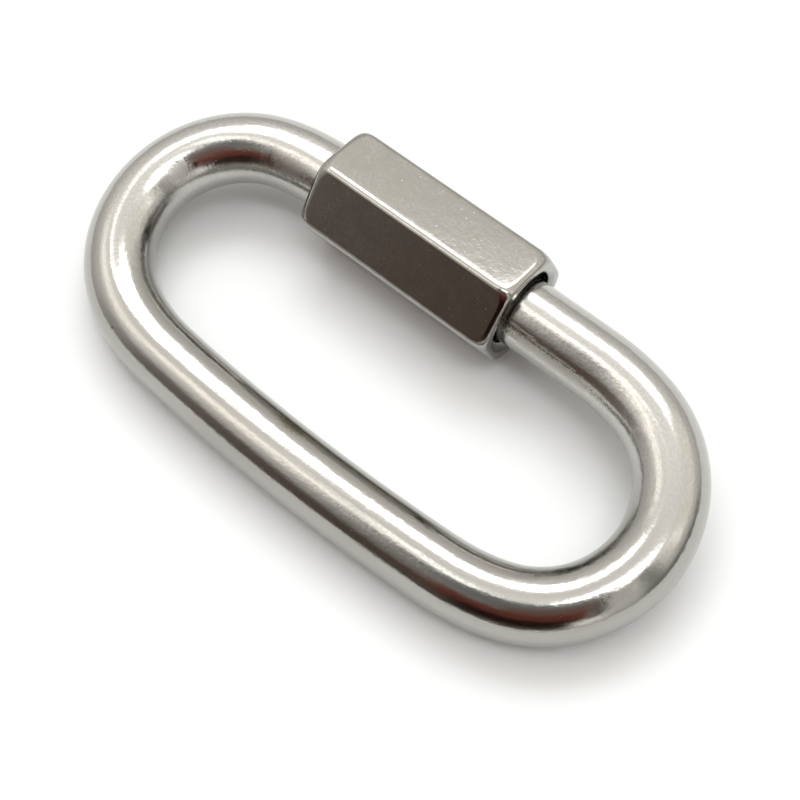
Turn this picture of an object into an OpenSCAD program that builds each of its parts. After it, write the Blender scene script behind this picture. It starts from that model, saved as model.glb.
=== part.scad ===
// Chain quick link: a bent round bar with one side left open, closed by a long hexagonal sleeve nut.
// It lies as it comes to rest, on the nut's lowest edge and on the middle of the loop's back.
// The bar is drawn with the nut's axis on X and the loop reaching towards -Y, then laid down.

/* [Loop] */
// Diameter of the round bar
rod_d = 7.7; // [7:0.1:8.2]
// Clear length inside the loop
inside_l = 59.8; // [58:0.2:80]
// Clear width inside the loop
inside_w = 19.5; // [17:0.1:24]
// Axis radius of the gentle arcs that lead into each end bend
ease_r = 25; // [20:0.5:32]
// Angle turned by each gentle arc
ease_a = 15.5; // [12:0.5:20]
// Half angle of the outward bow of the loop's back
bow_a = 4.3; // [2:0.1:6]
// Radius that the bar loses by bending, in the gentle arcs and once more in the end bends
bend_thin = 0.02; // [0.01:0.01:0.05]

/* [Threaded ends] */
// Mean diameter of the thread on both ends of the bar
thread_d = 9; // [8.4:0.1:9.4]
// Length of the short end that the closed nut grips
short_grip = 4.5; // [3.5:0.1:6]
// Clear gate between the two ends of the bar when the nut is run back
gate_w = 9; // [8:0.1:10]
// Length of thread on the long end, which the nut runs along
long_thread_l = 8; // [6:0.1:9]
// Length of the swelling from the bar up to the long end's thread
swell_l = 1; // [0.6:0.1:2]
// Chamfer on the tip of each end
tip_chamfer = 0.7; // [0.3:0.1:1.2]

/* [Sleeve nut] */
// Width of the nut across its flats
nut_af = 12; // [11.8:0.1:14]
// Length of the nut
nut_l = 25.4; // [22:0.1:26.5]
// Radius of the nut's six long edges
nut_edge_r = 0.8; // [0.4:0.1:1.2]
// Radius that rounds both ends of the nut
nut_end_r = 1.9; // [1.5:0.1:2.4]
// Width of the countersunk mouth at both ends of the nut
mouth_d = 10.7; // [10.2:0.1:11.2]
// Distance of the closed nut from the start of the bend
nut_seat = 0.6; // [0.4:0.1:2]
// Lean of the nut's upper flat, where the tightened thread stops it
nut_lean = 12; // [0:0.5:29]
// Running clearance between the thread and the nut, all round
thread_gap = 0.05; // [0.02:0.01:0.1]

/* [Hidden] */
$fn = 96;
// How far a slimmer stretch of the bar runs into the thicker one beside it
lap = 0.5;
// How far a cutting shape stands clear of what it cuts
spare = 1;
// How far a rounding stands out past true tangency, which leaves a faint crease
crease = 0.005;

// Axis of the bent bar, from the nut's side to the middle of the back
ease_d = rod_d - 2 * bend_thin;
bend_d = ease_d - 2 * bend_thin;
axis_l = inside_l + bend_d;
axis_w = inside_w + rod_d;
turn_a = ease_a + bow_a;
ease_drop = ease_r * (1 - cos(ease_a) + cos(bow_a) - cos(turn_a));
bow_span = axis_l / 2 - ease_r * (sin(turn_a) - sin(bow_a));
bow_slope = tan(bow_a / 2);
bend_r = (axis_w - ease_drop - bow_slope * bow_span)
    / (cos(ease_a) + cos(turn_a) - bow_slope * (1 - sin(turn_a)));
bow_r = (bow_span - bend_r * (1 - sin(turn_a))) / sin(bow_a);
side_l = axis_l / 2 - bend_r - (ease_r - bend_r) * sin(ease_a);

// Centres of the arcs on the +X half
gate_ease_c = [side_l, -ease_r];
bend_c = gate_ease_c + (ease_r - bend_r) * [sin(ease_a), cos(ease_a)];
back_ease_c = bend_c + (ease_r - bend_r) * [-sin(turn_a), cos(turn_a)];
bow_c = [0, bow_r - axis_w];
function lap_a(radius) = lap / radius * 180 / PI;

// Stations along the nut's axis
nut_x = nut_seat - side_l;
short_tip_x = nut_x + short_grip;
long_tip_x = short_tip_x + gate_w;
long_thread_x = long_tip_x + long_thread_l;
long_bar_x = long_thread_x + swell_l;

// Bore and corners of the nut, and how far it reaches in any direction square to its axis
bore_d = thread_d + 2 * thread_gap;
mouth_depth = (mouth_d - bore_d) / 2;
corner_c = (nut_af / 2 - nut_edge_r + crease) / cos(30);
end_c = corner_c + nut_edge_r + crease - nut_end_r;
function corner_a(k) = 60 * k - nut_lean;
function nut_reach(a) = nut_edge_r + max([for (k = [0 : 5]) corner_c * cos(a - corner_a(k))]);

// Lying pose, with the part's box centred on the origin
nut_z = nut_reach(-90);
lie_a = asin((nut_z - rod_d / 2) / axis_w);
nut_y = (axis_w * cos(lie_a) + rod_d / 2 - nut_reach(0)) / 2;

module on_nut_axis() {
    translate([0, nut_y, nut_z]) children();
}

module both_halves() {
    children();
    mirror([1, 0, 0]) children();
}

// A round stretch along X that may taper
module stretch(from_x, to_x, from_d, to_d) {
    translate([from_x, 0, 0])
        rotate([0, 90, 0])
            cylinder(h = to_x - from_x, d1 = from_d, d2 = to_d);
}

// An arc of the bar in the loop's plane
module bent_bar(centre, radius, from_a, to_a, bar_d) {
    translate(centre)
        rotate([0, 0, from_a])
            rotate_extrude(angle = to_a - from_a)
                translate([radius, 0])
                    circle(d = bar_d);
}

// One end of the loop: gentle arc, end bend and gentle arc
module end_bend() {
    bent_bar(gate_ease_c, ease_r, 90 - ease_a, 90 + lap_a(ease_r), ease_d);
    bent_bar(bend_c, bend_r, turn_a - 90 - lap_a(bend_r), 90 - ease_a + lap_a(bend_r), bend_d);
    bent_bar(back_ease_c, ease_r, bow_a - 90 - lap_a(ease_r), turn_a - 90, ease_d);
}

// Threaded end of the bar with its tip towards +X: swelling, thread and chamfer
module threaded_end(bar_x, thread_x, tip_x) {
    stretch(bar_x, thread_x, rod_d, thread_d);
    stretch(thread_x, tip_x - tip_chamfer, thread_d, thread_d);
    stretch(tip_x - tip_chamfer, tip_x, thread_d, thread_d - 2 * tip_chamfer);
}

module link_body() {
    color("gainsboro")
        on_nut_axis()
            rotate([lie_a, 0, 0]) {
                both_halves() end_bend();
                bent_bar(bow_c, bow_r, -90 - bow_a, -90 + bow_a, rod_d);
                threaded_end(-side_l, nut_x, short_tip_x);
                mirror([1, 0, 0]) threaded_end(-long_bar_x, -long_thread_x, -long_tip_x);
                stretch(long_bar_x, side_l, rod_d, rod_d);
            }
}

// Section of the nut: a hexagon less what lies outside the circle in each corner
module rounded_hexagon() {
    difference() {
        circle(r = nut_af / 2 / cos(30), $fn = 6);
        for (k = [0 : 5])
            rotate(60 * k)
                translate([corner_c, 0])
                    difference() {
                        translate([nut_edge_r * cos(30), -nut_edge_r]) square(2 * nut_edge_r);
                        circle(r = nut_edge_r);
                    }
    }
}

// What the rounding takes off one end of the nut
module end_rounding() {
    rotate_extrude()
        translate([end_c, -nut_end_r])
            difference() {
                square(nut_end_r + spare);
                circle(r = nut_end_r);
            }
}

// Countersink that opens one end of the bore
module mouth() {
    translate([0, 0, -mouth_depth])
        cylinder(h = mouth_depth + spare, d1 = bore_d, d2 = mouth_d + 2 * spare);
}

module sleeve_nut() {
    color("silver")
        on_nut_axis()
            translate([nut_x + nut_l / 2, 0, 0])
                rotate([90, 0, 90])
                    difference() {
                        linear_extrude(nut_l, center = true) rotate(-nut_lean) rounded_hexagon();
                        cylinder(h = nut_l + 2 * spare, d = bore_d, center = true);
                        for (turn = [0, 180])
                            rotate([turn, 0, 0])
                                translate([0, 0, nut_l / 2]) {
                                    end_rounding();
                                    mouth();
                                }
                    }
}

link_body();
sleeve_nut();
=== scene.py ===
import math

import bpy
import numpy as np
from mathutils import Matrix, Vector


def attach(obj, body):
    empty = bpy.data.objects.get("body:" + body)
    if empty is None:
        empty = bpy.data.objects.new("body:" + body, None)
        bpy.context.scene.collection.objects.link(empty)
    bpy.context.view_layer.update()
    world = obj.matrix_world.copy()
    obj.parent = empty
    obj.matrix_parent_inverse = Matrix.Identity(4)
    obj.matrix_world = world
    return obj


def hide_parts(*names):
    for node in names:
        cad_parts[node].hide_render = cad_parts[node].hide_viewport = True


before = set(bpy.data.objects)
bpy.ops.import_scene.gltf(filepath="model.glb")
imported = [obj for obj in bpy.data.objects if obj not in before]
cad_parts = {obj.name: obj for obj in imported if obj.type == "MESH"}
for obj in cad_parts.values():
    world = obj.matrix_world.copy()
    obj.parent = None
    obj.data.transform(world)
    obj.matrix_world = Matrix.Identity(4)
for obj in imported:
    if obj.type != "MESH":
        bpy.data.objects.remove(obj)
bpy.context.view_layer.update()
print("stage: frame loaded")

# Shapes are worked out in millimetres and degrees, and the meshes hold metres.
# The part lies with the nut's axis along X and the back of the loop towards -Y
millimetre = 0.001

thread = {
    "pitch": 1.5,  # nine turns over the nut's travel
    "meanRadius": 4.51,
    "flankRise": 0.65,  # rise of the full triangle, before crest and root are cut off
    "depth": 0.40,  # half the depth that is left
    "play": 0.07,  # the nut's thread stands this much further out
}


# Height of the thread: a triangle wave along X that turns with the angle, crest and root cut flat
def threadWave(x, angle):
    turn = x / thread["pitch"] - angle / (2 * math.pi)
    triangle = 4 * np.abs(turn - np.floor(turn) - 0.5) - 1
    return np.clip(thread["flankRise"] * triangle, -thread["depth"], thread["depth"])


# From 0 at low to 1 at high, level at both
def smoothStep(value, low, high):
    t = np.clip((value - low) / (high - low), 0, 1)
    return t * t * (3 - 2 * t)


# A mesh from a grid of points: columns always join up, rows may, and open ends close on one point.
# Named point values go along as attributes
def gridMesh(name, points, joinRows=False, startPole=None, endPole=None, values=None):
    rows, columns = points.shape[:2]
    index = np.arange(rows * columns).reshape(rows, columns)
    lower = index if joinRows else index[:-1]
    upper = np.roll(index, -1, axis=0) if joinRows else index[1:]
    quads = np.stack(
        [lower, np.roll(lower, -1, axis=1), np.roll(upper, -1, axis=1), upper], axis=-1
    ).reshape(-1, 4)
    verts = points.reshape(-1, 3)
    fans, poleRows = [], []
    for pole, ring, turned in ((startPole, index[0], True), (endPole, index[-1], False)):
        if pole is None:
            continue
        tip = np.full(columns, len(verts))
        verts = np.vstack([verts, pole])
        poleRows.append(0 if turned else -1)
        after = np.roll(ring, -1)
        fans += np.stack([after, ring, tip] if turned else [ring, after, tip], axis=-1).tolist()
    first, second, third, fourth = np.moveaxis(verts[quads], 1, 0)
    volume = np.sum(first * (np.cross(second, third) + np.cross(third, fourth)))
    faces = quads.tolist() + fans
    if volume < 0:  # faces point outwards
        faces = [face[::-1] for face in faces]
    mesh = bpy.data.meshes.new(name)
    mesh.from_pydata((verts * millimetre).tolist(), [], faces)
    mesh.update()
    mesh.polygons.foreach_set("use_smooth", np.ones(len(mesh.polygons), dtype=bool))
    for label, grid in (values or {}).items():
        atPoles = [grid[row].mean(0).reshape(1, -1) for row in poleRows]
        full = np.vstack([grid.reshape(rows * columns, -1)] + atPoles).astype(np.float32)
        kind, field = ("FLOAT_VECTOR", "vector") if full.shape[1] == 3 else ("FLOAT", "value")
        mesh.attributes.new(label, kind, "POINT").data.foreach_set(field, full.ravel())
    made = bpy.data.objects.new(name, mesh)
    bpy.context.scene.collection.objects.link(made)
    return made


bar = {
    "radius": 3.85,
    "insideLength": 59.8,  # clear length and width of the loop
    "insideWidth": 19.5,
    "bowAngle": 4.3,  # half angle of the outward bow of the back
    "easeRadius": 25.0,  # gentle arcs on both sides of each end bend
    "easeAngle": 15.5,
    "bendThinning": 0.08,  # diameter that the bar loses in the end bends
    "blend": 4.0,  # length over which one curve passes into the next
    "shortGrip": 4.5,  # thread on the short end, the gate, and thread on the long end
    "gate": 9.0,
    "longGrip": 8.0,
    "shortSwell": 0.6,  # length of the swelling up to each thread
    "longSwell": 1.0,
    "swellRadius": 4.42,
    "threadFade": 0.5,  # length over which a thread comes up
    "tipChamfer": 0.75,
    "tipRings": (0.985, 0.95, 0.6, 0.25),  # rings that close a tip, as shares of its radius
    "tipSinks": (0.03, 0.05, 0.05, 0.05),  # and how far inside the tip they lie
    "around": 112,
    "axisStep": 0.02,
    "axisSpare": 2.0,  # length of axis past the long tip
    "rowStep": 0.4,
    "threadStep": 0.085,
    "fineMargin": 0.4,  # fine rows reach this far past the swellings
    "tipEdge": 0.3,  # finest rows beside each tip, and their count
    "tipRows": 7,
    "threadGrimeAndShade": (0.45, 0.5),  # grime on the thread: mean, and how much more at the root, as painted shade
    "nutMouthShade": 0.75,  # painted shade on the bar inside the nut's mouth
    "nutMouthShadeSpan": (-2.95, -1.9),  # where it comes up, from the start of the long swelling
    "bentSpan": (0.045, 0.075),  # curvature from none to full press marks
    "pressSpan": (0.0, 0.75),  # the same round the bar, from its top to the inside
    "wornLeft": (24.0, 42.0),  # where the worn stretches come up, from the middle of the back
    "wornRight": (40.0, 54.0),
}


# The loop's arcs are tangent, so its clear length and width settle the radius of the bends and of
# the bow; places along the straight side follow from its half length
def layOutLoop(p):
    ease, bow = math.radians(p["easeAngle"]), math.radians(p["bowAngle"])
    turn = ease + bow
    axisLength = p["insideLength"] + 2 * p["radius"] - p["bendThinning"]
    axisWidth = p["insideWidth"] + 2 * p["radius"]
    easeDrop = p["easeRadius"] * (1 - math.cos(ease) + math.cos(bow) - math.cos(turn))
    bowSpan = axisLength / 2 - p["easeRadius"] * (math.sin(turn) - math.sin(bow))
    slope, lack = math.tan(bow / 2), 1 - math.sin(turn)
    reach = math.cos(ease) + math.cos(turn) - slope * lack
    bendRadius = (axisWidth - easeDrop - slope * bowSpan) / reach
    side = axisLength / 2 - bendRadius - (p["easeRadius"] - bendRadius) * math.sin(ease)
    shortThread = p["shortSwell"] - side
    shortTip = shortThread + p["shortGrip"]
    longTip = shortTip + p["gate"]
    return {
        "axisLength": axisLength,
        "axisWidth": axisWidth,
        "bendRadius": bendRadius,
        "bowRadius": (bowSpan - bendRadius * lack) / math.sin(bow),
        "side": side,
        "shortThread": shortThread,
        "shortTip": shortTip,
        "longTip": longTip,
        "longThread": longTip + p["longGrip"],
    }


# Half of the bar's axis from the middle of the back: the curvature along it, smoothed, is summed
# to the heading, and the heading to the place
def halfAxis(p):
    arcs = [
        (loop["bowRadius"], p["bowAngle"]),
        (p["easeRadius"], p["easeAngle"]),
        (loop["bendRadius"], 180 - p["bowAngle"] - 2 * p["easeAngle"]),
        (p["easeRadius"], p["easeAngle"]),
    ]
    ends = np.cumsum([radius * math.radians(angle) for radius, angle in arcs])
    step = p["axisStep"]
    s = np.arange(step / 2, ends[-1] + loop["side"] - loop["longTip"] + p["axisSpare"], step)
    curve = np.array([1 / radius for radius, angle in arcs] + [0.0])[np.searchsorted(ends, s)]
    half = int(p["blend"] / step / 2)
    window = np.hanning(2 * half + 3)[1:-1]
    padded = np.concatenate([curve[:half][::-1], curve, np.zeros(half)])
    curve = np.convolve(padded, window / window.sum(), mode="valid")
    heading = np.cumsum(curve) * step - curve * step / 2
    heading = heading * (math.pi / heading[-1])
    x = np.cumsum(np.cos(heading)) * step
    y = np.cumsum(np.sin(heading)) * step
    x = x * (loop["axisLength"] / 2 / x.max())
    y = y * (loop["axisWidth"] / y[-1]) - loop["axisWidth"]
    return s, x, y, heading, curve


# From the loop's plane to the lying part: turned about X by the tilt, then moved to the nut's axis
def layDown(points):
    c, d = math.cos(lying["tilt"]), math.sin(lying["tilt"])
    x, y, z = points[..., 0], points[..., 1], points[..., 2]
    return np.stack([x, y * c - z * d + lying["axisY"], y * d + z * c + lying["axisZ"]], axis=-1)


# The bar is a circle carried along that axis; on the two ends its radius follows the thread
def buildBar(p):
    s, x, y, heading, curve = halfAxis(p)
    onSide = heading > math.pi - 1e-6

    def stationOf(place):
        return float(np.interp(-place, -x[onSide], s[onSide]))

    shortTip, longTip = -stationOf(-loop["shortTip"]), stationOf(loop["longTip"])
    shortThread, longThread = -stationOf(-loop["shortThread"]), stationOf(loop["longThread"])
    shortBar, longBar = shortThread + p["shortSwell"], longThread - p["longSwell"]
    fine, edge, margin = p["threadStep"], p["tipEdge"], p["fineMargin"]
    stations = np.unique(
        np.concatenate(
            [
                np.linspace(shortTip, shortTip + edge, p["tipRows"]),
                np.arange(shortTip + edge, shortBar + margin, fine),
                np.arange(shortBar + margin, longBar - margin, p["rowStep"]),
                np.arange(longBar - margin, longTip - edge, fine),
                np.linspace(longTip - edge, longTip, p["tipRows"]),
            ]
        )
    )
    bothWays = np.concatenate([-s[::-1], s])
    atX = np.interp(stations, bothWays, np.concatenate([-x[::-1], x]))
    atY = np.interp(stations, bothWays, np.concatenate([y[::-1], y]))
    atHeading = np.interp(stations, bothWays, np.concatenate([-heading[::-1], heading]))
    atCurve = np.interp(stations, bothWays, np.concatenate([curve[::-1], curve]))

    # Around the bar the angle starts on the outside of the loop and rises towards the top
    angle = np.linspace(0, 2 * math.pi, p["around"], endpoint=False)[None, :]
    outX, outY = np.sin(atHeading)[:, None], -np.cos(atHeading)[:, None]
    turned = np.arctan2(np.sin(angle), np.cos(angle) * outY) + lying["tilt"]
    onShort = smoothStep(shortThread - stations, 0.0, p["threadFade"])
    onLong = smoothStep(stations - longThread, 0.0, p["threadFade"])
    onThread = (onShort + onLong)[:, None]
    upShort = smoothStep(shortBar - stations, 0.0, p["shortSwell"])
    upLong = smoothStep(stations - longBar, 0.0, p["longSwell"])
    wave = threadWave(atX[:, None], turned)
    radius = p["radius"] + (p["swellRadius"] - p["radius"]) * (upShort + upLong)[:, None]
    radius = radius + onThread * (thread["meanRadius"] - p["swellRadius"] + wave)
    toTip = np.minimum(stations - shortTip, longTip - stations)
    chamfer = thread["meanRadius"] + thread["depth"] - p["tipChamfer"] + toTip
    radius = np.minimum(radius, chamfer[:, None])

    # Point values: grime on the threads, darker at the root as painted shade, painted shade inside the
    # nut's mouth, press marks inside the bends, worn stretches
    mean, atRoot = p["threadGrimeAndShade"]
    # Grime on the thread, darkened at the root as painted shade
    grimeAndShade = onThread * (mean - atRoot * wave / thread["depth"])
    # Painted shade on the bar inside the nut's mouth, where the nut's lip shades it
    nearNut = smoothStep(stations - longBar, *p["nutMouthShadeSpan"])[:, None]
    grimeAndShade = np.maximum(grimeAndShade, p["nutMouthShade"] * nearNut * (1 - onThread))
    bent = smoothStep(atCurve, *p["bentSpan"])[:, None]
    press = bent * smoothStep(-np.cos(angle), *p["pressSpan"])
    worn = smoothStep(-stations, *p["wornLeft"]) + smoothStep(stations, *p["wornRight"])

    # Both tips close on a flat with a broken edge
    rings, sinks = np.array(p["tipRings"])[:, None], np.array(p["tipSinks"])[:, None]
    extra = len(rings)

    def capped(grid):
        ends = [np.repeat(row, extra, axis=0) for row in (grid[:1], grid[-1:])]
        return np.vstack([ends[0], grid, ends[1]])

    radius, grimeAndShade, press, worn = (
        capped(grid + 0 * radius) for grid in (radius, grimeAndShade, press, worn[:, None])
    )
    radius[:extra] *= rings[::-1]
    radius[-extra:] *= rings
    outX, outY, alongX, alongY, alongS = (
        capped(column.reshape(-1, 1)) for column in (outX, outY, atX, atY, stations)
    )
    alongX[:extra] += sinks[::-1]
    alongX[-extra:] -= sinks
    flat, rise = np.cos(angle) * radius, np.sin(angle) * radius
    points = layDown(np.stack([alongX + outX * flat, alongY + outY * flat, rise], axis=-1))
    poles = layDown(np.array([[alongX[row, 0], alongY[row, 0], 0.0] for row in (0, -1)]))
    flow = np.stack([alongS + 0 * radius, flat, rise], axis=-1) * millimetre
    return gridMesh(
        "linkBar",
        points,
        startPole=poles[0],
        endPole=poles[1],
        values={"flow": flow, "grimeAndShade": grimeAndShade, "press": press, "worn": worn},
    )


nut = {
    "length": 25.4,
    "flatReach": 6.0,  # from the axis to a flat
    "edgeRadius": 0.85,
    "lean": 12.0,
    "restRadius": 0.8,  # edge radius of the solid nut, on which the part lies,
    "restCrease": 0.005,  # and how far its rounding stands out from the flats
    "endFlatReach": 5.52,  # outline of the end face, a smaller and rounder hexagon
    "endEdgeRadius": 2.4,
    "endDepth": 0.85,  # how far the end rounding reaches along the flats
    "endDepthCorner": 1.75,  # and along the corners
    "mouthReach": 5.12,
    "lipRadius": 0.08,
    "mouthSlope": 2.2,  # how much the mouth narrows per millimetre from the end
    "rootGrimeAndShade": 0.7,  # grime with painted shade at the root of the thread, and painted shade deep in the bore
    "deepBoreShade": 0.35,
    "deepSpan": (0.6, 2.4),
    "flatSteps": 18,
    "edgeSteps": 14,
    "endSteps": 18,
    "outlineSteps": 240,
    "lipSteps": 5,
    "flatRows": 16,
    "boreStep": 0.085,
    "boreStart": 0.04,  # first row of the bore, from the lip
}


# The part lies on the nut's lowest edge and on the back of the loop, with its box centred
def restPose(p):
    corners = np.radians(60 * np.arange(6) - p["lean"])
    cornerReach = (p["flatReach"] - p["restRadius"] + p["restCrease"]) / math.cos(math.radians(30))

    def nutReach(side):
        return p["restRadius"] + cornerReach * np.cos(math.radians(side) - corners).max()

    axisZ = nutReach(-90)
    tilt = math.asin((axisZ - bar["radius"]) / loop["axisWidth"])
    axisY = (loop["axisWidth"] * math.cos(tilt) + bar["radius"] - nutReach(0)) / 2
    return {"axisY": axisY, "axisZ": axisZ, "tilt": tilt}


# A sixth of a hexagon with rounded corners, in the complex plane: the corner, then the flat
def hexagonSixth(flatReach, edgeRadius, edgeSteps, flatSteps):
    cornerReach = (flatReach - edgeRadius) / math.cos(math.radians(30))
    swing = np.radians(np.linspace(-30, 30, edgeSteps + 1))
    corner = cornerReach + edgeRadius * np.exp(1j * swing)
    share = np.linspace(0, 1, flatSteps + 1)[1:-1]
    following = corner[0] * np.exp(1j * math.pi / 3)
    return np.concatenate([corner, corner[-1] * (1 - share) + following * share])


# The nut is one closed sheet: around it runs the rounded hexagon, along it the outside, an end that
# rounds over to a smaller hexagon, the lip, the threaded bore and the other lip and end
def buildNut(p):
    turns = np.exp(1j * math.pi / 3 * np.arange(6))[:, None]
    sixth = hexagonSixth(p["flatReach"], p["edgeRadius"], p["edgeSteps"], p["flatSteps"])
    outer = (sixth * turns).ravel()
    steps = p["outlineSteps"]
    inner = (hexagonSixth(p["endFlatReach"], p["endEdgeRadius"], steps, steps) * turns).ravel()
    reach = np.abs(outer)[None, :]
    bearing, innerBearing = np.unwrap(np.angle(outer)), np.unwrap(np.angle(inner))
    endReach = np.interp(bearing, innerBearing, np.abs(inner), period=2 * math.pi)[None, :]
    angle = bearing[None, :] - math.radians(p["lean"])
    left = loop["shortThread"]
    right = left + p["length"]

    # End: a quarter of an ellipse from the flat over to the end face
    toCorner = (reach - p["flatReach"]) / (reach.max() - p["flatReach"])
    depth = p["endDepth"] + (p["endDepthCorner"] - p["endDepth"]) * toCorner**2
    sweep = np.linspace(0, math.pi / 2, p["endSteps"] + 1)[:, None]
    endIn = depth * (1 - np.sin(sweep))
    endOut = endReach + (reach - endReach) * np.cos(sweep)

    # Lip: an arc that turns from the end face to the slope of the mouth
    lip = p["lipRadius"]
    lipSwing = np.linspace(0, math.atan(1 / p["mouthSlope"]), p["lipSteps"] + 1)[:, None]
    lipIn = lip * (1 - np.cos(lipSwing)) + 0 * reach
    lipOut = p["mouthReach"] + lip - lip * np.sin(lipSwing) + 0 * reach

    # Bore: the greater of thread and mouth
    lipEnd, mouthStart = float(lipIn[-1, 0]), float(lipOut[-1, 0])
    inset = lipEnd + p["boreStart"]
    boreX = np.arange(right - inset, left + inset, -p["boreStep"])[:, None]
    inDepth = np.minimum(boreX - left, right - boreX)
    mouth = mouthStart - p["mouthSlope"] * (inDepth - lipEnd)
    wave = threadWave(boreX, angle)
    bore = np.maximum(thread["meanRadius"] + thread["play"] + wave, mouth)
    # Grime on the bore's thread, darkest at the root as painted shade
    boreGrimeAndShade = p["rootGrimeAndShade"] * (0.5 + 0.5 * wave / thread["depth"])
    # Painted shade, darker deeper into the bore
    boreGrimeAndShade = boreGrimeAndShade + p["deepBoreShade"] * smoothStep(inDepth, *p["deepSpan"])

    share = np.linspace(0, 1, p["flatRows"] + 2)[1:-1, None]
    flatX = (left + depth) * (1 - share) + (right - depth) * share
    wideX = boreX + 0 * reach
    rowsX = np.vstack(
        [left + endIn[::-1], flatX, right - endIn, right - lipIn, wideX, left + lipIn[::-1]]
    )
    rowsR = np.vstack([endOut[::-1], reach + 0 * flatX, endOut, lipOut, bore, lipOut[::-1]])
    before = 2 * len(endIn) + len(flatX) + len(lipIn)
    grimeAndShade = np.vstack([np.zeros((before, reach.shape[1])), boreGrimeAndShade, 0 * lipIn])
    rowsY = lying["axisY"] + rowsR * np.cos(angle)
    rowsZ = lying["axisZ"] + rowsR * np.sin(angle)
    points = np.stack([rowsX, rowsY, rowsZ], axis=-1)
    return gridMesh("sleeveNut", points, joinRows=True, values={"grimeAndShade": grimeAndShade})


loop = layOutLoop(bar)
lying = restPose(nut)
barPiece = buildBar(bar)
nutPiece = buildNut(nut)
print("stage: shapes", len(barPiece.data.polygons), len(nutPiece.data.polygons))

for piece, body, node, slot in (
    (barPiece, "link", "link_body", "bar_steel"),
    (nutPiece, "nut", "sleeve_nut", "nut_steel"),
):
    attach(piece, body)
    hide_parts(node)


# A socket takes a link from another node, or a plain value
def feed(tree, socket, value):
    if isinstance(value, bpy.types.NodeSocket):
        tree.links.new(value, socket)
    else:
        socket.default_value = value


def addNode(tree, kind, settings=None, inputs=None):
    made = tree.nodes.new(kind)
    for key, value in (settings or {}).items():
        setattr(made, key, value)
    for key, value in (inputs or {}).items():
        feed(tree, made.inputs[key], value)
    return made


def addMath(tree, operation, *values):
    inputs = dict(enumerate(values))
    return addNode(tree, "ShaderNodeMath", {"operation": operation}, inputs).outputs[0]


def addVectorMath(tree, operation, *values, output=0):
    inputs = dict(enumerate(values))
    made = addNode(tree, "ShaderNodeVectorMath", {"operation": operation}, inputs)
    return made.outputs[output]


# Sockets 6 and 7 of the mix node are its two colours, and output 2 is the mixed one
def mixColor(tree, factor, first, second):
    inputs = {0: factor, 6: first, 7: second}
    return addNode(tree, "ShaderNodeMix", {"data_type": "RGBA"}, inputs).outputs[2]


def mapRange(tree, value, fromMin, fromMax, toMin=0.0, toMax=1.0, smooth=True):
    settings = {"interpolation_type": "SMOOTHSTEP" if smooth else "LINEAR"}
    inputs = dict(enumerate((value, fromMin, fromMax, toMin, toMax)))
    return addNode(tree, "ShaderNodeMapRange", settings, inputs).outputs[0]


def addNoise(tree, place, scale, detail, roughness=0.5):
    inputs = {"Vector": place, "Scale": scale, "Detail": detail, "Roughness": roughness}
    return addNode(tree, "ShaderNodeTexNoise", None, inputs).outputs[0]


def addAttribute(tree, label, output="Fac"):
    return addNode(tree, "ShaderNodeAttribute", {"attribute_name": label}).outputs[output]


def newGroup(name, inputs, outputs):
    group = bpy.data.node_groups.new(name, "ShaderNodeTree")
    for label, kind, value in inputs:
        socket = group.interface.new_socket(label, in_out="INPUT", socket_type=kind)
        if value is not None:
            socket.default_value = value
    for label, kind in outputs:
        group.interface.new_socket(label, in_out="OUTPUT", socket_type=kind)
    given = group.nodes.new("NodeGroupInput").outputs
    return group, given, group.nodes.new("NodeGroupOutput").inputs


wearPattern = {
    "waves": (520.0, 4.0),  # cells per metre and detail of each noise
    "ripple": (1500.0, 2.0),
    "speckle": (4200.0, 1.0),
    "noiseRoughness": 0.55,
    "speckleLift": 0.55,  # height of the speckle, as a share of the ripple's
    "dentCells": 1700.0,
    "dentRadius": (0.12, 0.05),  # spread and least radius of a dent, as shares of a cell
    "dentFlat": 0.2,  # share of its radius that is flat
    "mottleSpan": (0.32, 0.68),  # noise that comes out as 0 and as 1
    "speckleSpan": (0.35, 0.65),
}


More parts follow.
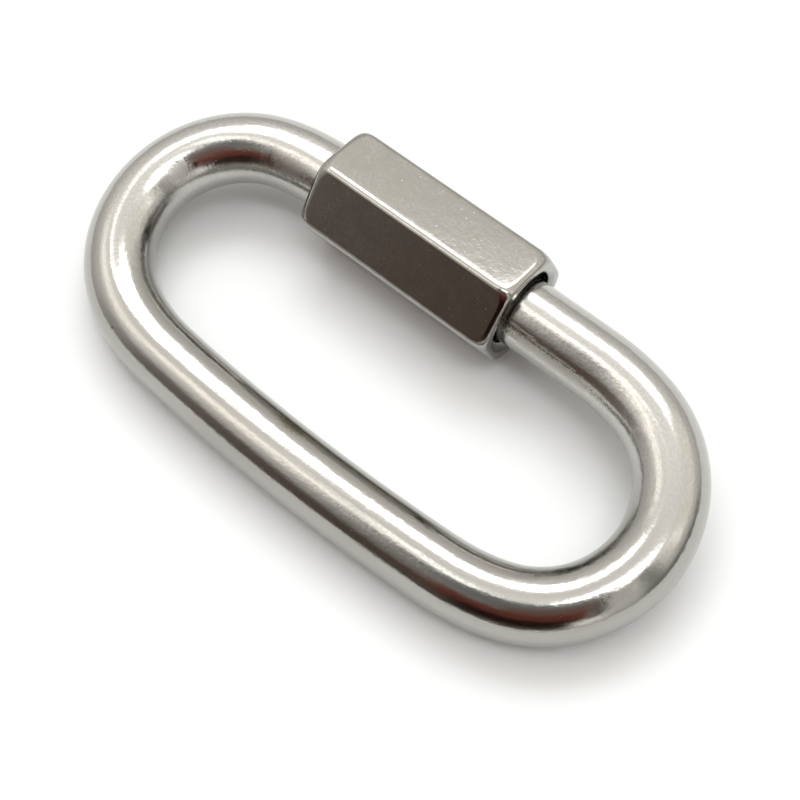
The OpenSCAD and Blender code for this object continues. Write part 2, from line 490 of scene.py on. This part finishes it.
# Wear of polished steel, all heights in millimetres: slow waves, a fine ripple and sparse dents.
# The place is in metres; Draw and Stretch lengthen the waves and the ripple along the piece
def makeWearGroup(p):
    group, given, out = newGroup(
        "steelWear",
        [
            ("Vector", "NodeSocketVector", None),
            ("Draw", "NodeSocketFloat", 1.0),
            ("Stretch", "NodeSocketFloat", 1.0),
            ("Wave", "NodeSocketFloat", 0.0),
            ("Ripple", "NodeSocketFloat", 0.0),
            ("Dent", "NodeSocketFloat", 0.0),
            ("Dent Share", "NodeSocketFloat", 0.1),
        ],
        [(label, "NodeSocketFloat") for label in ("Height", "Mottle", "Speckle", "Dents")],
    )

    def drawnNoise(length, scale, detail):
        along = addNode(group, "ShaderNodeCombineXYZ", None, {0: length, 1: 1.0, 2: 1.0}).outputs[0]
        place = addVectorMath(group, "DIVIDE", given["Vector"], along)
        return addNoise(group, place, scale, detail, p["noiseRoughness"])

    mottle = drawnNoise(given["Draw"], *p["waves"])
    ripple = drawnNoise(given["Stretch"], *p["ripple"])
    speckle = drawnNoise(given["Stretch"], *p["speckle"])
    cells = addNode(
        group,
        "ShaderNodeTexVoronoi",
        {"feature": "F1"},
        {"Vector": given["Vector"], "Scale": p["dentCells"], "Randomness": 1.0},
    )
    split = addNode(group, "ShaderNodeSeparateColor", None, {"Color": cells.outputs["Color"]})
    chosen = addMath(group, "LESS_THAN", split.outputs[0], given["Dent Share"])
    size = addMath(group, "MULTIPLY_ADD", split.outputs[1], *p["dentRadius"])
    away = addMath(group, "DIVIDE", cells.outputs["Distance"], size)
    dents = addMath(group, "MULTIPLY", chosen, mapRange(group, away, p["dentFlat"], 1.0, 1.0, 0.0))
    height = addMath(group, "MULTIPLY", mottle, given["Wave"])
    height = addMath(group, "MULTIPLY_ADD", ripple, given["Ripple"], height)
    lift = addMath(group, "MULTIPLY", given["Ripple"], p["speckleLift"])
    height = addMath(group, "MULTIPLY_ADD", speckle, lift, height)
    height = addMath(group, "SUBTRACT", height, addMath(group, "MULTIPLY", dents, given["Dent"]))
    feed(group, out["Height"], height)
    feed(group, out["Mottle"], mapRange(group, mottle, *p["mottleSpan"], smooth=False))
    feed(group, out["Speckle"], mapRange(group, speckle, *p["speckleSpan"], smooth=False))
    feed(group, out["Dents"], dents)
    return group


markPattern = {
    "grain": 3000.0,  # cells per metre and detail of a mark's uneven edge
    "detail": 2.0,
    "uneven": 1.6,
    "full": 0.35,  # share of a mark's size up to which it is full
}


# Share of a place that lies in one mark, an uneven spot that fades outwards; sizes are metres
def makeMarkGroup(p):
    group, given, out = newGroup(
        "softMark",
        [
            ("Vector", "NodeSocketVector", None),
            ("Middle", "NodeSocketVector", None),
            ("Size", "NodeSocketVector", None),
            ("Grain", "NodeSocketFloat", p["grain"]),
        ],
        [("Share", "NodeSocketFloat")],
    )
    away = addVectorMath(group, "SUBTRACT", given["Vector"], given["Middle"])
    away = addVectorMath(group, "DIVIDE", away, given["Size"])
    far = addVectorMath(group, "LENGTH", away, output="Value")
    grain = addNoise(group, given["Vector"], given["Grain"], p["detail"])
    uneven = addMath(group, "MULTIPLY_ADD", addMath(group, "SUBTRACT", grain, 0.5), p["uneven"], far)
    feed(group, out["Share"], mapRange(group, uneven, p["full"], 1.0, 1.0, 0.0))
    return group


wearGroup = makeWearGroup(wearPattern)
markGroup = makeMarkGroup(markPattern)

barFinish = {
    "color": (0.43, 0.421, 0.398, 1.0),
    "darker": (0.365, 0.356, 0.332, 1.0),
    "wornColor": (0.50, 0.49, 0.465, 1.0),  # at the worn left end and from the right end to the nut
    "speckle": 0.35,
    "roughness": 0.115,
    "wornRoughness": 0.01,  # added there
    "draw": 8.0,
    "stretch": 1.6,
    "wave": 0.026,
    "ripple": 0.0115,
    "dent": 0.008,
    "dentShare": 0.2,
    "pressDepth": 0.036,  # press marks on the inside of the bends, in patches
    "pressCells": (1200.0, 700.0, 700.0),  # cells per metre along and across the bar
    "pressDetail": (3.0, 0.6),
    "pressRoughness": 0.05,
    "patchCells": (230.0, 2.0),
    "patchSpan": (0.42, 0.58),
}

# Marks on the bar: millimetres along it, towards the outside and upwards, then their sizes
barMarks = {
    "oliveStain": {
        "middle": (-1.9, -2.6, 2.9),
        "size": (2.3, 1.0, 1.0),
        "color": (0.23, 0.21, 0.145, 1.0),
        "share": 0.85,
        "rough": 0.0,
    },
    "darkSpeck": {
        "middle": (-23.65, 2.47, 2.95),
        "size": (0.16, 0.16, 0.16),
        "color": (0.03, 0.03, 0.03, 1.0),
        "share": 1.0,
        "rough": 0.1,
    },
    "scuffByNut": {
        "middle": (-60.6, -2.4, 2.9),
        "size": (3.6, 1.5, 1.5),
        "color": (0.46, 0.45, 0.43, 1.0),
        "share": 0.4,
        "rough": 0.24,
    },
    # A rough smear of wear, painted paler as a painted reflection of a pressed facet
    "smearAndPaintedReflection": {
        "middle": (-44.9, -2.4, 3.0),
        "size": (2.0, 1.2, 1.2),
        "color": (0.56, 0.55, 0.53, 1.0),
        "share": 0.6,
        "rough": 0.28,
    },
    # Painted shade: a thin dark line along a crease near the nut
    "crease": {
        "middle": (-57.5, -2.2, 3.1),
        "size": (0.22, 1.1, 0.8),
        "color": (0.07, 0.065, 0.06, 1.0),
        "share": 0.7,
        "rough": 0.1,
    },
    "darkFleck": {
        "middle": (-47.2, -2.5, 2.9),
        "size": (0.6, 0.34, 0.34),
        "color": (0.05, 0.045, 0.04, 1.0),
        "share": 0.8,
        "rough": 0.0,
    },
    # A rough satin strip below the seam, its paleness a painted reflection of the floor
    "satinAndPaintedReflection": {
        "middle": (67.0, -3.3, 2.0),
        "size": (9.5, 1.05, 1.05),
        "color": (0.60, 0.585, 0.55, 1.0),
        "share": 0.8,
        "rough": 0.26,
    },
}

# Raised seam on the inside of the bar, from the nut into the bend, as three such marks in a row
seamMarks = {
    name: {
        "middle": middle,
        "size": (length, 0.13, 0.13),
        "color": (0.30, 0.28, 0.25, 1.0),
        "share": 0.5,
        "rough": 0.05,
        "lift": 0.022,  # height of the seam
        "grain": 700.0,
    }
    for name, middle, length in (
        ("seamByNut", (72.3, -2.53, 2.90), 3.0),
        ("seamMiddle", (67.6, -2.68, 2.76), 3.6),
        ("seamInBend", (62.8, -2.86, 2.58), 3.6),
    )
}

nutFinish = {
    "color": (0.425, 0.416, 0.391, 1.0),
    "darker": (0.335, 0.326, 0.30, 1.0),
    "speckle": 0.9,
    "roughness": 0.07,
    "draw": 1.0,
    "stretch": 1.0,
    "wave": 0.008,
    "ripple": 0.0045,
    "dent": 0.006,
    "dentShare": 0.35,
}

# What all the steel has in common
steel = {
    "mottleRoughness": 0.03,  # roughness that each kind of wear adds
    "speckleRoughness": 0.03,
    "dentRoughness": 0.45,
    "grimeAndShadeRoughness": 0.25,
    "dentColor": (0.16, 0.15, 0.135, 1.0),
    "dentTone": 0.35,
    "grimeAndShadeColor": (0.030, 0.027, 0.024, 1.0),
    "grimeAndShadeTone": (0.5, 0.7),  # how the grime and painted shade vary with the mottle, and their least share
}


# The bar alone is worn paler in places and has press marks in its bends
def addBarWear(tree, look, finish, place):
    worn = addAttribute(tree, "worn")
    look["tone"] = mixColor(tree, worn, look["tone"], finish["wornColor"])
    look["rough"] = addMath(tree, "MULTIPLY_ADD", worn, finish["wornRoughness"], look["rough"])
    across = addVectorMath(tree, "MULTIPLY", place, finish["pressCells"])
    dimples = addNoise(tree, across, 1.0, *finish["pressDetail"])
    patches = addNoise(tree, place, *finish["patchCells"])
    patches = mapRange(tree, patches, *finish["patchSpan"])
    press = addMath(tree, "MULTIPLY", addAttribute(tree, "press"), patches)
    depth = addMath(tree, "MULTIPLY", press, finish["pressDepth"])
    look["height"] = addMath(tree, "MULTIPLY_ADD", dimples, depth, look["height"])
    look["rough"] = addMath(tree, "MULTIPLY_ADD", press, finish["pressRoughness"], look["rough"])


# Each mark tints and roughens its spot, and may lift it
def addMarks(tree, look, marks, place):
    for label, mark in marks.items():
        spot = addNode(
            tree,
            "ShaderNodeGroup",
            {"node_tree": markGroup, "label": label},
            {
                "Vector": place,
                "Middle": tuple(millimetre * number for number in mark["middle"]),
                "Size": tuple(millimetre * number for number in mark["size"]),
                "Grain": mark.get("grain", markPattern["grain"]),
            },
        ).outputs[0]
        tint = addMath(tree, "MULTIPLY", spot, mark["share"])
        look["tone"] = mixColor(tree, tint, look["tone"], mark["color"])
        look["rough"] = addMath(tree, "MULTIPLY_ADD", spot, mark["rough"], look["rough"])
        if "lift" in mark:
            look["height"] = addMath(tree, "MULTIPLY_ADD", spot, mark["lift"], look["height"])


# Polished steel: colour and roughness drift with the wear, and grime with painted shade dulls and darkens
# the threads, the bore and the bar in the nut's mouth.
# The bar's patterns follow its flow attribute, along it and across, and the nut's Object coordinates
def makeSteel(name, finish, marks=None):
    material = bpy.data.materials.new(name)
    material.use_nodes = True
    tree = material.node_tree
    surface = tree.nodes["Principled BSDF"]
    if marks:
        place = addAttribute(tree, "flow", "Vector")
    else:
        place = addNode(tree, "ShaderNodeTexCoord").outputs["Object"]
    wear = addNode(
        tree,
        "ShaderNodeGroup",
        {"node_tree": wearGroup},
        {
            "Vector": place,
            "Draw": finish["draw"],
            "Stretch": finish["stretch"],
            "Wave": finish["wave"],
            "Ripple": finish["ripple"],
            "Dent": finish["dent"],
            "Dent Share": finish["dentShare"],
        },
    ).outputs
    grimeAndShade = addAttribute(tree, "grimeAndShade")
    rough = finish["roughness"]
    for share, added in (
        (wear["Mottle"], steel["mottleRoughness"]),
        (wear["Speckle"], steel["speckleRoughness"]),
        (wear["Dents"], steel["dentRoughness"]),
        (grimeAndShade, steel["grimeAndShadeRoughness"]),
    ):
        rough = addMath(tree, "MULTIPLY_ADD", share, added, rough)
    look = {
        "tone": mixColor(tree, wear["Mottle"], finish["color"], finish["darker"]),
        "rough": rough,
        "height": wear["Height"],
    }
    if marks:
        addBarWear(tree, look, finish, place)
    speckle = addMath(tree, "MULTIPLY", wear["Speckle"], finish["speckle"])
    look["tone"] = mixColor(tree, speckle, look["tone"], finish["darker"])
    dents = addMath(tree, "MULTIPLY", wear["Dents"], steel["dentTone"])
    look["tone"] = mixColor(tree, dents, look["tone"], steel["dentColor"])
    if marks:
        addMarks(tree, look, marks, place)
    # This darkening is grime with painted shade: thread roots, the deep bore and the bar in the nut's
    # mouth
    uneven = addMath(tree, "MULTIPLY_ADD", wear["Mottle"], *steel["grimeAndShadeTone"])
    uneven = addMath(tree, "MULTIPLY", uneven, grimeAndShade)
    feed(tree, surface.inputs["Base Color"], mixColor(tree, uneven, look["tone"], steel["grimeAndShadeColor"]))
    feed(tree, surface.inputs["Roughness"], look["rough"])
    surface.inputs["Metallic"].default_value = 1.0
    relief = {"Strength": 1.0, "Distance": millimetre, "Height": look["height"]}
    bump = addNode(tree, "ShaderNodeBump", None, relief)
    feed(tree, surface.inputs["Normal"], bump.outputs[0])
    return material


barPiece.data.materials.append(makeSteel("barSteel", barFinish, barMarks | seamMarks))
nutPiece.data.materials.append(makeSteel("nutSteel", nutFinish))
print("stage: materials")

floor = {
    "half": 2.0,  # metres
    "drop": 0.00003,  # just below the part
    "color": (0.83, 0.852, 0.862, 1.0),
    "roughness": 0.7,
    "specular": 0.2,
}


# The floor is a square
def makeFloor(p):
    mesh = bpy.data.meshes.new("floor")
    corners = [(x * p["half"], y * p["half"], -p["drop"]) for x, y in ((-1, -1), (1, -1), (1, 1), (-1, 1))]
    mesh.from_pydata(corners, [], [(0, 1, 2, 3)])
    piece = bpy.data.objects.new("floor", mesh)
    bpy.context.scene.collection.objects.link(piece)
    material = bpy.data.materials.new("floorWhite")
    material.use_nodes = True
    surface = material.node_tree.nodes["Principled BSDF"].inputs
    surface["Base Color"].default_value = p["color"]
    surface["Roughness"].default_value = p["roughness"]
    surface["Specular IOR Level"].default_value = p["specular"]
    mesh.materials.append(material)


makeFloor(floor)

# The studio is a dome: a grey that brightens with the elevation, white panels, and a dark front
domeSteps = [
    (-90, (0.55, 0.54, 0.52)),
    (0, (0.63, 0.62, 0.595)),
    (15, (0.81, 0.795, 0.76)),
    (30, (1.02, 0.995, 0.95)),
    (45, (1.22, 1.185, 1.12)),
    (60, (1.34, 1.31, 1.25)),
    (90, (1.45, 1.42, 1.37)),
]

# Azimuth 0 looks towards -Y and grows towards +X. Each panel has its middle, half size and softness
# in degrees of azimuth and elevation, then its colour as radiance; later panels cover earlier ones
domePanels = {
    "leftGlow": ((-68, 48), (20, 7), (16, 12), (2.1, 2.03, 1.92)),
    "farGlow": ((-140, 34), (9, 6), (12, 9), (1.3, 1.27, 1.2)),
    "leftSpot": ((-51, 64), (9, 11), (11, 7), (2.4, 2.3, 2.15)),
    "leftSpotLow": ((-40, 55), (6, 4), (8, 5), (2.0, 1.93, 1.8)),
    "farWindow": ((-153, 52.3), (28, 10.1), (10, 3.4), (5.4, 5.4, 5.4)),
    "farWindowSide": ((-117, 56.5), (13, 7.5), (12, 6), (6.0, 6.0, 6.0)),
    "topPanel": ((64, 83), (44, 9), (26, 6), (5.5, 5.5, 5.5)),
    "topPanelLow": ((96, 71), (16, 8), (14, 8), (5.5, 5.5, 5.5)),
    "ceilingLamp": ((-58, 75.2), (24, 2.6), (12, 4), (3.2, 3.2, 3.1)),
    "rightWall": ((136, 42), (32, 14), (18, 14), (1.32, 1.27, 1.17)),
    "rightStrip": ((116, 43), (5, 13), (6, 8), (1.8, 1.76, 1.66)),
    "rightPale": ((72, 38), (10, 26), (8, 16), (0.86, 0.84, 0.81)),
    "rightShade": ((92, 28), (6, 34), (9, 12), (0.4, 0.39, 0.37)),
    "rightLow": ((112, 2), (24, 9), (20, 14), (0.26, 0.25, 0.24)),
    "frontShade": ((14, 46), (41, 26), (30, 12), (0.32, 0.305, 0.29)),
    "frontTop": ((18, 67.2), (48, 10.3), (24, 6), (0.25, 0.255, 0.255)),
    "frontFade": ((-10, 15), (31.7, 16), (54.6, 14), (0.14, 0.104, 0.088)),
    "frontLow": ((21, 15), (22, 16), (26, 14), (0.14, 0.104, 0.088)),
    "frontUpper": ((34, 52), (26, 12), (12, 14), (0.25, 0.14, 0.115)),
    "frontMiddle": ((24, 34), (34, 12), (10, 12), (0.2, 0.055, 0.038)),
    "frontDark": ((24, 19), (25, 11), (12, 10), (0.026, 0.011, 0.009)),
    "frontEdge": ((62, 42), (3.5, 20), (5, 8), (0.12, 0.105, 0.095)),
    "frontGap": ((57, 11), (7, 6), (8, 7), (1.4, 1.36, 1.3)),
}


# Share of a direction that lies on one panel: 1 up to Inner from its middle, 0 beyond Outer.
# All are vectors of azimuth and elevation in degrees
def makePanelGroup():
    group, given, out = newGroup(
        "softPanel",
        [(label, "NodeSocketVector", None) for label in ("Direction", "Middle", "Inner", "Outer")],
        [("Share", "NodeSocketFloat")],
    )
    away = addVectorMath(group, "SUBTRACT", given["Direction"], given["Middle"])
    away = addVectorMath(group, "WRAP", away, (180,) * 3, (-180,) * 3)
    eased = addNode(
        group, "ShaderNodeMapRange", {"data_type": "FLOAT_VECTOR", "interpolation_type": "SMOOTHSTEP"}
    )
    sockets = {socket.identifier: socket for socket in eased.inputs}
    for label, value in {
        "Vector": addVectorMath(group, "ABSOLUTE", away),
        "From_Min_FLOAT3": given["Inner"],
        "From_Max_FLOAT3": given["Outer"],
        "To_Min_FLOAT3": (1.0, 1.0, 1.0),
        "To_Max_FLOAT3": (0.0, 0.0, 0.0),
    }.items():
        feed(group, sockets[label], value)
    shares = addNode(group, "ShaderNodeSeparateXYZ", None, {0: eased.outputs["Vector"]}).outputs
    feed(group, out["Share"], addMath(group, "MULTIPLY", shares[0], shares[1]))
    return group


def makeDome():
    world = bpy.data.worlds.new("studioDome")
    bpy.context.scene.world = world
    world.use_nodes = True
    tree = world.node_tree
    direction = addNode(tree, "ShaderNodeTexCoord").outputs["Generated"]
    x, y, z = addNode(tree, "ShaderNodeSeparateXYZ", None, {0: direction}).outputs
    toDegrees = 180.0 / math.pi
    azimuth = addMath(tree, "ARCTAN2", x, addMath(tree, "MULTIPLY", y, -1.0))
    azimuth = addMath(tree, "MULTIPLY", azimuth, toDegrees)
    elevation = addMath(tree, "MULTIPLY", addMath(tree, "ARCSINE", z), toDegrees)
    both = addNode(tree, "ShaderNodeCombineXYZ", None, {0: azimuth, 1: elevation}).outputs[0]
    height = mapRange(tree, elevation, -90.0, 90.0, smooth=False)
    ramp = addNode(tree, "ShaderNodeValToRGB", None, {0: height})
    stops = ramp.color_ramp.elements
    while len(stops) < len(domeSteps):
        stops.new(0.5)
    for stop, (degrees, stopColor) in zip(stops, domeSteps):
        stop.position = (degrees + 90) / 180
        stop.color = (*stopColor, 1.0)
    color = ramp.outputs[0]
    panelGroup = makePanelGroup()
    for name, (middle, half, soft, panelColor) in domePanels.items():
        share = addNode(
            tree,
            "ShaderNodeGroup",
            {"node_tree": panelGroup, "label": name},
            {
                "Direction": both,
                "Middle": (*middle, 0.0),
                "Inner": (half[0] - soft[0] / 2, half[1] - soft[1] / 2, 1.0),
                "Outer": (half[0] + soft[0] / 2, half[1] + soft[1] / 2, 2.0),
            },
        )
        color = mixColor(tree, share.outputs[0], color, (*panelColor, 1.0))
    background = tree.nodes["Background"].inputs
    feed(tree, background["Color"], color)
    background["Strength"].default_value = 1.0


makeDome()
print("stage: studio")

view = {
    "place": (51.6426, -44.9257, 145.1303),
    "forward": (-0.30818, 0.27260, -0.91144),
    "up": (-0.57053, 0.71370, 0.40637),
    "lens": 67.5,
    "sensor": 36.0,
    "clipStart": 0.005,  # metres
    "clipEnd": 20.0,
}


def makeCamera(p):
    camera = bpy.data.objects.new("camera", bpy.data.cameras.new("camera"))
    bpy.context.scene.collection.objects.link(camera)
    forward = Vector(p["forward"]).normalized()
    right = forward.cross(Vector(p["up"])).normalized()
    up = right.cross(forward)
    turn = Matrix((right, up, -forward)).transposed().to_4x4()
    camera.matrix_world = Matrix.Translation(Vector(p["place"]) * millimetre) @ turn
    camera.data.lens = p["lens"]
    camera.data.sensor_width = p["sensor"]
    camera.data.clip_start = p["clipStart"]
    camera.data.clip_end = p["clipEnd"]
    camera.data.dof.use_dof = False
    bpy.context.scene.camera = camera


makeCamera(view)
bpy.context.scene.view_settings.view_transform = "Standard"
print("stage: camera")
